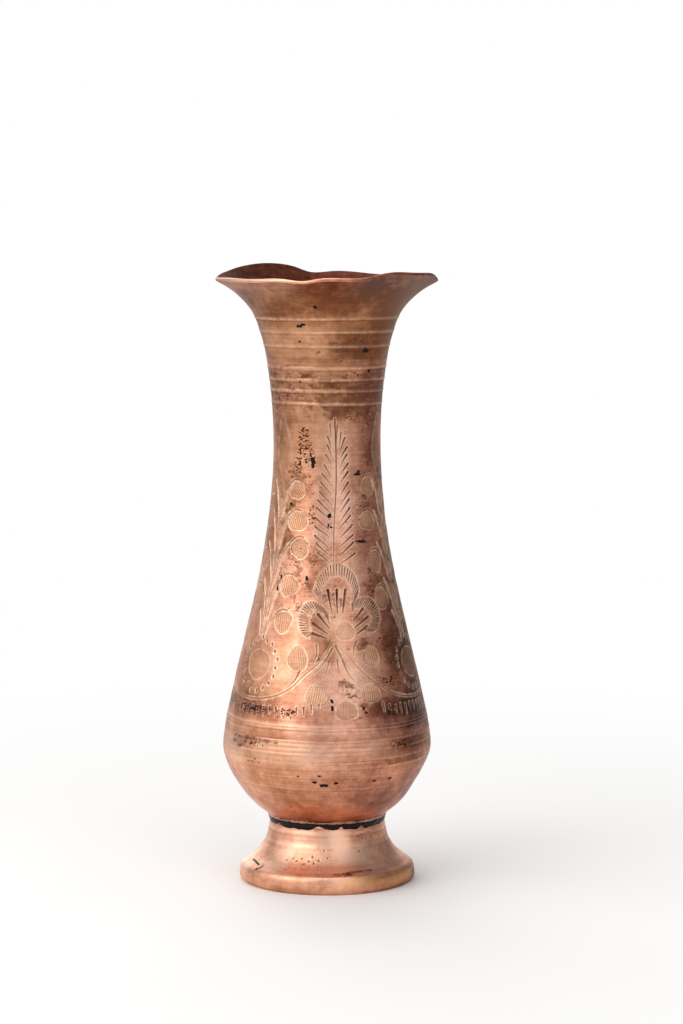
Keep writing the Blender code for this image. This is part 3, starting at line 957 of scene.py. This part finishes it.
# The brass at each tone from dark to rubbed bare, and what lies over it.
BRASS = (
    (0.0, rgb(76, 46, 40)), (0.22, rgb(137, 87, 73)), (0.42, rgb(173, 112, 92)),
    (0.62, rgb(208, 144, 120)), (0.85, rgb(235, 177, 153)), (1.0, rgb(247, 198, 175)),
)
DARK_GOLD, PALE_GOLD = rgb(148, 95, 60), rgb(238, 176, 124)
AMBER, CRUST, SPECK = rgb(206, 112, 34), rgb(106, 61, 44), rgb(84, 44, 34)
RUBBED, RUBBED_GOLD = rgb(248, 200, 174), rgb(250, 198, 160)
DARK_HATCH, PALE_HATCH = rgb(132, 98, 74), rgb(218, 178, 138)
BURR, CUT = rgb(252, 208, 178), rgb(66, 44, 40)
DARK_INSIDE, PALE_INSIDE = rgb(76, 36, 26), rgb(112, 60, 42)
LACQUER = rgb(16, 14, 18)
DARK_BRAZE, PALE_BRAZE = rgb(92, 66, 36), rgb(172, 134, 78)
STAGE_FLOOR = rgb(244, 243, 242)
HATCH_PITCH = 0.95  # mm


def aged_brass(g, tone, blotches):
    """The brass with golden tarnish, amber spots, brown crust and rubbed places."""
    colour = BRASS[0][1]
    for (low, _), (high, paint) in zip(BRASS, BRASS[1:]):
        colour = g.mix(g.ramp(tone, low, high), colour, paint)
    golden = g.mix(g.ramp(tone, 0.1, 0.9), DARK_GOLD, PALE_GOLD)
    colour = g.mix(g.maths("MULTIPLY", g.field("gold"), 0.6, clamp=True), colour, golden)
    spots = g.ramp(g.noise(520, 6), 0.4, 0.55, 0.15, 1)
    amber = g.maths("MULTIPLY", g.ramp(g.field("gold"), 1.35, 2.1), spots)
    colour = g.mix(amber, colour, AMBER)
    patches = g.noise(210, 8, 0.74, stretch=(1, 1, 1.5))
    crust = g.maths("ADD", patches, g.ramp(g.field("crust"), 0, 1, -0.4, 0.085))
    cover = g.ramp(blotches, 0.35, 0.62, 0.35, 0.9)
    crust = g.maths("MULTIPLY", g.ramp(crust, 0.455, 0.525), cover)
    colour = g.mix(crust, colour, CRUST)
    wear = g.ramp(g.noise(420, 5, 0.7), 0.36, 0.62, 0.35, 1.0)
    # rubbed bright places; on the turned lines their brightness carries painted shade at the right
    wear_and_highlight = g.maths("MULTIPLY", g.field("rub"), wear, clamp=True)
    return g.mix(wear_and_highlight, colour, g.mix(g.field("gold"), RUBBED, RUBBED_GOLD))


def engraved(g, colour, lines, fill, blotches):
    """The colour with hatching, bright burrs and dark cuts over it. The burrs are rubbed metal with
    a painted highlight.
    """
    hatched = g.mix(g.ramp(lines, -1, 0.3), g.mix(0.24, colour, DARK_HATCH),
                    g.mix(0.55, colour, PALE_HATCH))
    colour = g.mix(fill, colour, hatched)
    # bright burrs: rubbed metal and a painted highlight along the raised edges
    sheen = g.ramp(blotches, 0.38, 0.56, 0.2, 0.8)
    colour = g.mix(g.maths("MULTIPLY", g.field("burr"), sheen, clamp=True), colour, BURR)
    darkening = g.ramp(blotches, 0.35, 0.65, 0.7, 0.95)
    return g.mix(g.maths("MULTIPLY", g.field("cut"), darkening, clamp=True), colour, CUT)


def lacquered(g):
    """1 where black lacquer or a stain covers the metal, with a ragged edge."""
    ragged = g.ramp(g.noise(900, 3), 0.3, 0.7, -0.3, 0.3)
    ragged = g.maths("MULTIPLY", ragged, g.ramp(g.field("black"), 0, 0.3))
    return g.ramp(g.maths("ADD", g.field("black"), ragged), 0.48, 0.54)


def brass_material():
    """Old rose brass, steered by the fields of the mesh."""
    material = bpy.data.materials.new("rose_brass")
    g = Graph(material)
    blotches = g.noise(300, 4)
    fine = g.noise(1200, 3)
    streaks = g.noise(30, 2, stretch=(1, 1, 50))
    patches = g.noise(75, 6, 0.62)
    tone = g.field("tone")
    for noise, amount in ((patches, 0.13), (blotches, 0.085), (streaks, 0.06), (fine, 0.03)):
        tone = g.maths("ADD", tone, g.ramp(noise, 0.3, 0.7, -amount, amount))
    weave = g.maths("ADD", g.field("hatch"), g.ramp(blotches, 0.2, 0.8, -0.35, 0.35))
    lines = g.maths("SINE", g.maths("MULTIPLY", weave, math.tau / HATCH_PITCH))
    fill = g.maths("MULTIPLY", g.field("fill"), g.ramp(g.noise(240, 4), 0.3, 0.65, 0.55, 1.0))
    black = lacquered(g)

    colour = engraved(g, aged_brass(g, tone, blotches), lines, fill, blotches)
    grains = g.noise(850, 2, stretch=(1, 1, 1.5))
    speck = g.maths("ADD", grains, g.ramp(g.field("speck"), 0, 0.7, -0.4, 0.08))
    colour = g.mix(g.ramp(speck, 0.58, 0.63), colour, SPECK)
    inside = g.mix(g.ramp(blotches, 0.35, 0.65), DARK_INSIDE, PALE_INSIDE)
    colour = g.mix(g.field("inside"), colour, inside)
    colour = g.mix(black, colour, LACQUER)

    rough = g.maths("ADD", g.ramp(tone, 0, 1, 0.43, 0.33), g.ramp(fine, 0.3, 0.7, -0.05, 0.06))
    rough = g.maths("ADD", rough, g.maths("MULTIPLY", fill, 0.12))
    rough = g.maths("ADD", rough, g.maths("MULTIPLY", g.field("inside"), 0.15), clamp=True)
    normal = g.bump(streaks, 0.15, 0.0002)
    normal = g.bump(fine, 0.2, 0.0001, Normal=normal)
    normal = g.bump(g.maths("MULTIPLY", lines, g.field("fill")), 0.4, 0.0001, Normal=normal)
    g.feed(g.tree.nodes["Principled BSDF"], {
        "Base Color": colour, "Roughness": rough, "Metallic": g.maths("SUBTRACT", 1.0, black),
        "Specular IOR Level": 0.2, "Normal": normal,
    })
    return material


def braze_material():
    """Dull yellow braze, beaded and smoky."""
    material = bpy.data.materials.new("smoky_braze")
    g = Graph(material)
    beads = g.noise(420, 3)
    smoke = g.ramp(g.noise(120, 5), 0.35, 0.65)
    g.feed(g.tree.nodes["Principled BSDF"], {
        "Base Color": g.mix(smoke, DARK_BRAZE, PALE_BRAZE), "Metallic": 1.0,
        "Roughness": g.ramp(beads, 0.3, 0.7, 0.4, 0.65), "Normal": g.bump(beads, 0.5, 0.0003),
    })
    return material


# ---------------------------------------------------------------- stage

# Bright parts of the studio round the vase, as (azimuth, half width in degrees, strength).
PANELS = (
    (-64, 50, 0.90), (21, 20, 0.84), (58, 18, 0.24), (178, 22, 0.75), (-152, 18, 1.0),
    (106, 16, 0.12),
)
PANEL_BLUR = 9  # how soft a panel's edge is, in degrees each way
GLOOM = 0.20  # the studio between the panels
PAPER = 1.0  # how bright the backdrop looks to the camera
LAMP_TARGET = 0.13  # the height the lamps face, in metres
CAMERA_PLACE = (0.0061, -1.286, 0.2878)
CAMERA_TILT = 5.862  # degrees down
CAMERA_LENS = 108.2


def softbox(name, azimuth, elevation, distance, size, power):
    """A square light that faces the vase. Azimuth is from the front towards +X."""
    light = bpy.data.lights.new(name, "AREA")
    light.size = size
    light.energy = power
    lamp = bpy.data.objects.new(name, light)
    a, e = math.radians(azimuth), math.radians(elevation)
    lamp.location = (distance * math.sin(a) * math.cos(e), -distance * math.cos(a) * math.cos(e),
                     LAMP_TARGET + distance * math.sin(e))
    lamp.rotation_euler = (math.pi / 2 - e, 0, a)
    bpy.context.scene.collection.objects.link(lamp)


def make_world():
    """A dim studio whose bright panels light the vase, and which is white to the camera."""
    world = bpy.data.worlds.new("pale_studio")
    g = Graph(world)
    level = g.vector("MULTIPLY", g.node("TexCoord").outputs["Generated"], (1, 1, 0))
    level = g.vector("NORMALIZE", level)
    glow = GLOOM
    for azimuth, half_width, strength in PANELS:
        a = math.radians(azimuth)
        toward = g.vector("DOT_PRODUCT", level, (math.sin(a), -math.cos(a), 0))
        outer_edge = math.cos(math.radians(half_width + PANEL_BLUR))
        inner_edge = math.cos(math.radians(half_width - PANEL_BLUR))
        panel = g.ramp(toward, outer_edge, inner_edge, 0, strength, "SMOOTHSTEP")
        glow = g.maths("ADD", glow, panel)
    seen = g.node("LightPath").outputs["Is Camera Ray"]
    g.feed(g.tree.nodes["Background"], {
        "Strength": g.ramp(seen, 0, 1, glow, PAPER), "Color": (1.0, 1.0, 1.0),
    })
    bpy.context.scene.world = world


def make_floor():
    """A pale sheet that fades into the backdrop's white away from the vase."""
    half = 8.0
    corners = [(-half, -half, 0), (half, -half, 0), (half, half, 0), (-half, half, 0)]
    data = bpy.data.meshes.new("floor")
    data.from_pydata(corners, [], [(0, 1, 2, 3)])
    floor = bpy.data.objects.new("floor", data)
    bpy.context.scene.collection.objects.link(floor)
    material = bpy.data.materials.new("pale_floor")
    g = Graph(material)
    surface = g.tree.nodes["Principled BSDF"]
    g.feed(surface, {"Base Color": STAGE_FLOOR, "Roughness": 0.7})
    reach = g.vector("LENGTH", g.node("TexCoord").outputs["Object"])
    fade = g.ramp(reach, 0.12, 0.55, kind="SMOOTHSTEP")
    seen = g.node("LightPath").outputs["Is Camera Ray"]
    white = g.node("Emission", {"Strength": g.ramp(seen, 0, 1, 0.6, PAPER)}).outputs[0]
    blend = g.node("MixShader", {0: fade, 1: surface.outputs[0], 2: white}).outputs[0]
    g.feed(g.tree.nodes["Material Output"], {"Surface": blend})
    data.materials.append(material)


def make_camera():
    camera = bpy.data.cameras.new("camera")
    camera.lens = CAMERA_LENS
    holder = bpy.data.objects.new("camera", camera)
    holder.location = CAMERA_PLACE
    holder.rotation_euler = (math.radians(90 - CAMERA_TILT), 0, 0)
    bpy.context.scene.collection.objects.link(holder)
    bpy.context.scene.camera = holder


def place(piece, slot, material, node):
    """Puts a piece in the place of a CAD node."""
    piece.data.materials.append(material)
    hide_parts(node)
    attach(piece, "root")


brass = brass_material()
place(make_mouth(), "neck_brass", brass, "mouth")
place(make_body(), "engraved_brass", brass, "body")
place(make_lower_bowl(), "bowl_brass", brass, "lower_bowl")
place(make_foot(), "foot_brass", brass, "foot")
place(make_lacquer(), "black_lacquer", brass, "foot_joint_lacquer")
braze = braze_material()
for ring in ("neck_braze_ring", "belly_braze_ring", "foot_braze_ring"):
    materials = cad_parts[ring].data.materials
    materials.clear()
    materials.append(braze)

make_world()
make_floor()
make_camera()
softbox("key", azimuth=-50, elevation=30, distance=1.3, size=0.9, power=4)
softbox("top", azimuth=0, elevation=88, distance=1.2, size=0.8, power=4)
bpy.context.scene.view_settings.view_transform = "Standard"
